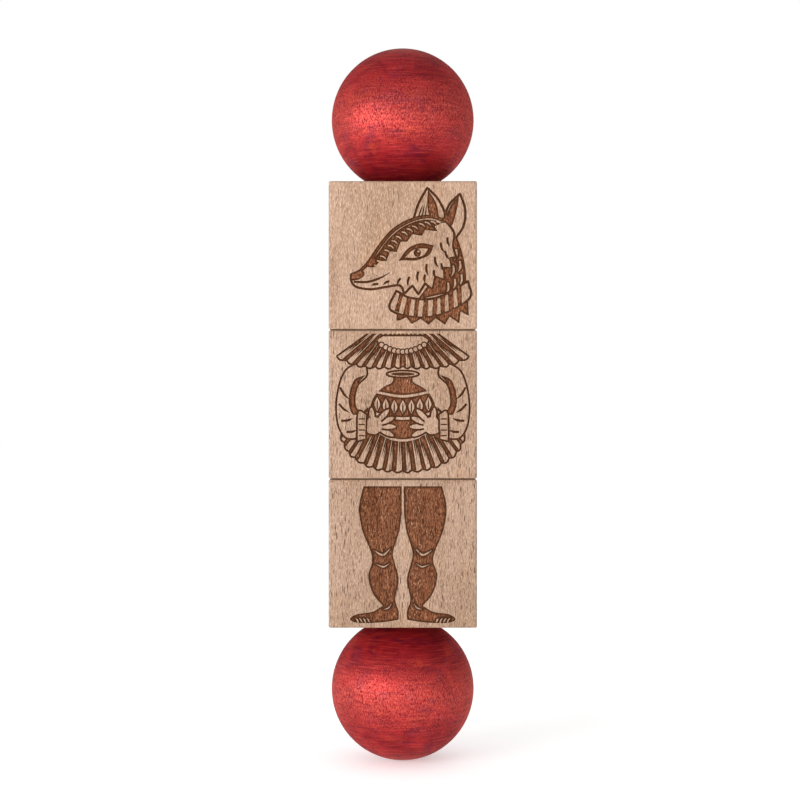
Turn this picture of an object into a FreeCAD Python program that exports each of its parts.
"""A block doll: three square beech blocks that turn on one dowel, held between two glued wooden balls.

The doll stands upright along +Z with its front facing -Y. The origin is the lowest point of the
bottom ball, on the dowel's axis. Units are millimetres and degrees.

From the bottom up the pieces are bottom_ball, legs_block, body_block, head_block and top_ball, with
the dowel through all of them. The balls are glued to the dowel. The blocks turn on it freely, with a
small gap at each of their ends.
"""

import os

import FreeCAD
import Part
import Sketcher

SHEET = "dimensions"

# alias: (value, what it is)
DIMENSIONS = {
    "block_side": (40.0, "each side of a block, which is a cube"),
    "block_edge_radius": (0.5, "rounding along the edges of a block"),
    "block_bore": (8.2, "diameter of the hole that a block turns on"),
    "block_bore_chamfer": (0.5, "chamfer at both mouths of a block's hole"),
    "turning_gap": (0.25, "free space at each end of a block"),
    "ball_diameter": (40.0, "diameter of a ball"),
    "ball_mouth": (19.4, "from a ball's centre to the small flat that faces the blocks"),
    "ball_bore_depth": (20.0, "straight part of the blind hole in a ball"),
    "ball_bore_chamfer": (0.4, "chamfer at the mouth of a ball's hole"),
    "drill_point": (118.0, "angle of the cone at the end of the blind hole"),
    "dowel_diameter": (8.0, "diameter of the dowel, and of the hole it is glued into"),
    "dowel_seat": (19.0, "length of dowel inside each ball"),
    "dowel_chamfer": (0.8, "chamfer at both ends of the dowel"),
}

# The turning blocks, from the bottom up.
BLOCKS = ["legs_block", "body_block", "head_block"]

HALF_TURN = FreeCAD.Rotation(FreeCAD.Vector(1, 0, 0), 180)
ON_EDGE = 1e-6


def cell(alias):
    """The expression that reads one driving dimension."""
    return f"{SHEET}.{alias}"


# Heights above the origin, as expressions of the driving dimensions.
BALL_RADIUS = f"{cell('ball_diameter')} / 2"
FIRST_MOUTH = f"({BALL_RADIUS} + {cell('ball_mouth')})"
BLOCK_STEP = f"({cell('block_side')} + {cell('turning_gap')})"
LAST_MOUTH = f"({FIRST_MOUTH} + {len(BLOCKS)} * {BLOCK_STEP} + {cell('turning_gap')})"


def make_sheet(doc):
    """The spreadsheet of driving dimensions, one row each."""
    sheet = doc.addObject("Spreadsheet::Sheet", SHEET)
    for row, (alias, (value, meaning)) in enumerate(DIMENSIONS.items(), start=1):
        sheet.set(f"A{row}", meaning)
        sheet.set(f"B{row}", str(value))
        sheet.setAlias(f"B{row}", alias)
    doc.recompute()
    return sheet


def new_body(doc, label, height, rotation=None):
    """An empty body whose own origin stands on the dowel's axis, height above the doll's origin."""
    body = doc.addObject("PartDesign::Body", label)
    body.Label = label
    if rotation is not None:
        body.Placement = FreeCAD.Placement(FreeCAD.Vector(0, 0, 0), rotation)
    body.setExpression("Placement.Base.z", height)
    return body


def new_sketch(body, name, plane):
    """A sketch on one of the body's own origin planes."""
    sketch = body.newObject("Sketcher::SketchObject", name)
    roles = {feature.Role: feature for feature in body.Origin.OriginFeatures}
    sketch.AttachmentSupport = [(roles[plane], "")]
    sketch.MapMode = "FlatFace"
    return sketch


def bind(sketch, constraint, name, expression):
    """Adds a named dimension to the sketch and binds it to an expression."""
    index = sketch.addConstraint(constraint)
    sketch.renameConstraint(index, name)
    sketch.setExpression(f"Constraints.{name}", expression)


def circle_sketch(body, name, diameter):
    """A circle about the body's own axis."""
    sketch = new_sketch(body, name, "XY_Plane")
    start = body.Document.getObject(SHEET).get(diameter)
    centre = FreeCAD.Vector(0, 0, 0)
    circle = sketch.addGeometry(Part.Circle(centre, FreeCAD.Vector(0, 0, 1), start / 2))
    sketch.addConstraint(Sketcher.Constraint("Coincident", circle, 3, -1, 1))
    bind(sketch, Sketcher.Constraint("Diameter", circle, start), "diameter", cell(diameter))
    return sketch


def square_sketch(body, name, side):
    """A square centred on the body's own axis, with its sides along X and Y."""
    sketch = new_sketch(body, name, "XY_Plane")
    half = body.Document.getObject(SHEET).get(side) / 2
    corners = [(-half, -half), (half, -half), (half, half), (-half, half)]
    for (x0, y0), (x1, y1) in zip(corners, corners[1:] + corners[:1]):
        line = Part.LineSegment(FreeCAD.Vector(x0, y0, 0), FreeCAD.Vector(x1, y1, 0))
        sketch.addGeometry(line)
    for line in range(4):
        sketch.addConstraint(Sketcher.Constraint("Coincident", line, 2, (line + 1) % 4, 1))
        direction = "Horizontal" if line % 2 == 0 else "Vertical"
        sketch.addConstraint(Sketcher.Constraint(direction, line))
    sketch.addConstraint(Sketcher.Constraint("Symmetric", 0, 1, 1, 2, -1, 1))
    bind(sketch, Sketcher.Constraint("DistanceX", 0, 1, 0, 2, 2 * half), "width", cell(side))
    bind(sketch, Sketcher.Constraint("DistanceY", 1, 1, 1, 2, 2 * half), "depth", cell(side))
    return sketch


def rings(shape, diameter):
    """The names of the shape's circular edges of that diameter."""
    found = []
    for number, edge in enumerate(shape.Edges, start=1):
        if edge.Degenerated or not isinstance(edge.Curve, Part.Circle):
            continue
        if abs(2 * edge.Curve.Radius - diameter) < ON_EDGE:
            found.append(f"Edge{number}")
    return found


def dress(body, kind, name, base, edges, setting, expression):
    """A fillet or chamfer on the named edges of the body's last feature."""
    feature = body.newObject(f"PartDesign::{kind}", name)
    feature.Base = (base, edges)
    feature.setExpression(setting, expression)
    return feature


def make_block(doc, label, place):
    """A cube with rounded edges and a hole through it for the dowel. Place counts from the bottom."""
    height = f"{FIRST_MOUTH} + {cell('turning_gap')} + {place} * {BLOCK_STEP}"
    body = new_body(doc, label, height)

    cube = body.newObject("PartDesign::Pad", f"{label}_cube")
    cube.Profile = square_sketch(body, f"{label}_outline", "block_side")
    cube.setExpression("Length", cell("block_side"))
    doc.recompute()

    every_edge = [f"Edge{number + 1}" for number in range(len(cube.Shape.Edges))]
    rounded = dress(body, "Fillet", f"{label}_rounding", cube, every_edge, "Radius", cell("block_edge_radius"))
    doc.recompute()

    bore = body.newObject("PartDesign::Pocket", f"{label}_bore")
    bore.Profile = circle_sketch(body, f"{label}_bore_circle", "block_bore")
    bore.Type = "ThroughAll"
    bore.Reversed = True
    doc.recompute()
    if bore.Shape.Volume >= rounded.Shape.Volume:
        raise RuntimeError(f"{label}: the bore cuts nothing")

    mouths = rings(bore.Shape, doc.getObject(SHEET).get("block_bore"))
    dress(body, "Chamfer", f"{label}_mouths", bore, mouths, "Size", cell("block_bore_chamfer"))
    return body


def ball_profile(body, name):
    """Half of a ball's section, right of its axis: flat at the mouth below, blind hole up to a drilled cone."""
    sketch = new_sketch(body, name, "XZ_Plane")
    sheet = body.Document.getObject(SHEET)
    radius = sheet.get("ball_diameter") / 2
    mouth = sheet.get("ball_mouth")
    bore = sheet.get("dowel_diameter") / 2
    wall_end = sheet.get("ball_bore_depth") - mouth

    # Starting places: the constraints below set the true ones.
    rim = (radius**2 - mouth**2) ** 0.5
    pole = FreeCAD.Vector(0, radius, 0)
    tip = FreeCAD.Vector(0, wall_end + bore / 2, 0)
    shoulder = FreeCAD.Vector(bore, wall_end, 0)
    lip = FreeCAD.Vector(bore, -mouth, 0)
    edge = FreeCAD.Vector(rim, -mouth, 0)
    side = FreeCAD.Vector(radius, 0, 0)

    core = sketch.addGeometry(Part.LineSegment(pole, tip))
    cone = sketch.addGeometry(Part.LineSegment(tip, shoulder))
    wall = sketch.addGeometry(Part.LineSegment(shoulder, lip))
    flat = sketch.addGeometry(Part.LineSegment(lip, edge))
    skin = sketch.addGeometry(Part.Arc(edge, side, pole))

    for first, second in ((core, cone), (cone, wall), (wall, flat)):
        sketch.addConstraint(Sketcher.Constraint("Coincident", first, 2, second, 1))
    sketch.addConstraint(Sketcher.Constraint("Coincident", flat, 2, skin, 1))
    sketch.addConstraint(Sketcher.Constraint("Coincident", skin, 2, core, 1))
    sketch.addConstraint(Sketcher.Constraint("Coincident", skin, 3, -1, 1))
    sketch.addConstraint(Sketcher.Constraint("PointOnObject", core, 1, -2))
    sketch.addConstraint(Sketcher.Constraint("PointOnObject", core, 2, -2))
    sketch.addConstraint(Sketcher.Constraint("Vertical", wall))
    sketch.addConstraint(Sketcher.Constraint("Horizontal", flat))

    bind(sketch, Sketcher.Constraint("Radius", skin, radius), "ball_radius", BALL_RADIUS)
    bind(
        sketch,
        Sketcher.Constraint("DistanceY", flat, 1, -1, 1, mouth),
        "centre_to_mouth",
        cell("ball_mouth"),
    )
    bind(
        sketch,
        Sketcher.Constraint("DistanceX", -1, 1, wall, 1, bore),
        "bore_radius",
        f"{cell('dowel_diameter')} / 2",
    )
    bind(
        sketch,
        Sketcher.Constraint("DistanceY", wall, 2, wall, 1, mouth + wall_end),
        "bore_depth",
        cell("ball_bore_depth"),
    )
    bind(
        sketch,
        Sketcher.Constraint("DistanceY", cone, 2, cone, 1, bore / 2),
        "cone_height",
        f"{cell('dowel_diameter')} / 2 / tan({cell('drill_point')} * 1 deg / 2)",
    )
    return sketch


def make_ball(doc, label, height, rotation=None):
    """A ball drilled half through, with its own origin at its centre. Unturned, its mouth faces down."""
    body = new_body(doc, label, height, rotation)
    turned = body.newObject("PartDesign::Revolution", f"{label}_turning")
    profile = ball_profile(body, f"{label}_section")
    turned.Profile = profile
    turned.ReferenceAxis = (profile, ["V_Axis"])
    turned.Angle = 360
    doc.recompute()

    sheet = doc.getObject(SHEET)
    diameter = sheet.get("dowel_diameter")
    mouth = [
        name
        for name in rings(turned.Shape, diameter)
        if abs(turned.Shape.getElement(name).Curve.Center.z + sheet.get("ball_mouth")) < ON_EDGE
    ]
    dress(body, "Chamfer", f"{label}_mouth", turned, mouth, "Size", cell("ball_bore_chamfer"))
    return body


def make_dowel(doc, label):
    """The axle: a plain round rod, chamfered at both ends."""
    body = new_body(doc, label, f"{FIRST_MOUTH} - {cell('dowel_seat')}")
    rod = body.newObject("PartDesign::Pad", f"{label}_rod")
    rod.Profile = circle_sketch(body, f"{label}_circle", "dowel_diameter")
    rod.setExpression("Length", f"{LAST_MOUTH} - {FIRST_MOUTH} + 2 * {cell('dowel_seat')}")
    doc.recompute()

    ends = rings(rod.Shape, doc.getObject(SHEET).get("dowel_diameter"))
    dress(body, "Chamfer", f"{label}_ends", rod, ends, "Size", cell("dowel_chamfer"))
    return body


def make_doll():
    """The document with every piece of the doll, and the list of its bodies."""
    doc = FreeCAD.newDocument("block_doll")
    make_sheet(doc)
    pieces = [make_dowel(doc, "dowel")]
    pieces.append(make_ball(doc, "bottom_ball", BALL_RADIUS, HALF_TURN))
    for place, label in enumerate(BLOCKS):
        pieces.append(make_block(doc, label, place))
    pieces.append(make_ball(doc, "top_ball", f"{LAST_MOUTH} + {cell('ball_mouth')}"))
    doc.recompute()
    return doc, pieces


def check(doc, pieces):
    """Stops on any failed object, loose sketch or bad solid."""
    for thing in doc.Objects:
        if "Invalid" in thing.State or "Error" in thing.State:
            raise RuntimeError(f"{thing.Name} failed to recompute: {thing.State}")
        if thing.TypeId == "Sketcher::SketchObject" and thing.solve() != 0:
            raise RuntimeError(f"{thing.Name} can't be solved")
    for piece in pieces:
        shape = piece.Shape
        if shape.isNull() or not shape.isValid() or len(shape.Solids) != 1:
            raise RuntimeError(f"{piece.Label} isn't one valid solid")


def write(pieces):
    """One STEP file for each piece, named by its label."""
    os.makedirs("parts", exist_ok=True)
    for piece in pieces:
        piece.Shape.exportStep(os.path.join("parts", f"{piece.Label}.step"))
        box = piece.Shape.BoundBox
        print(
            f"{piece.Label}: {piece.Shape.Volume:.0f} mm3,"
            f" {box.XLength:.2f} x {box.YLength:.2f} x {box.ZLength:.2f} mm,"
            f" z {box.ZMin:.2f} to {box.ZMax:.2f}"
        )


doll, bodies = make_doll()
check(doll, bodies)
write(bodies)
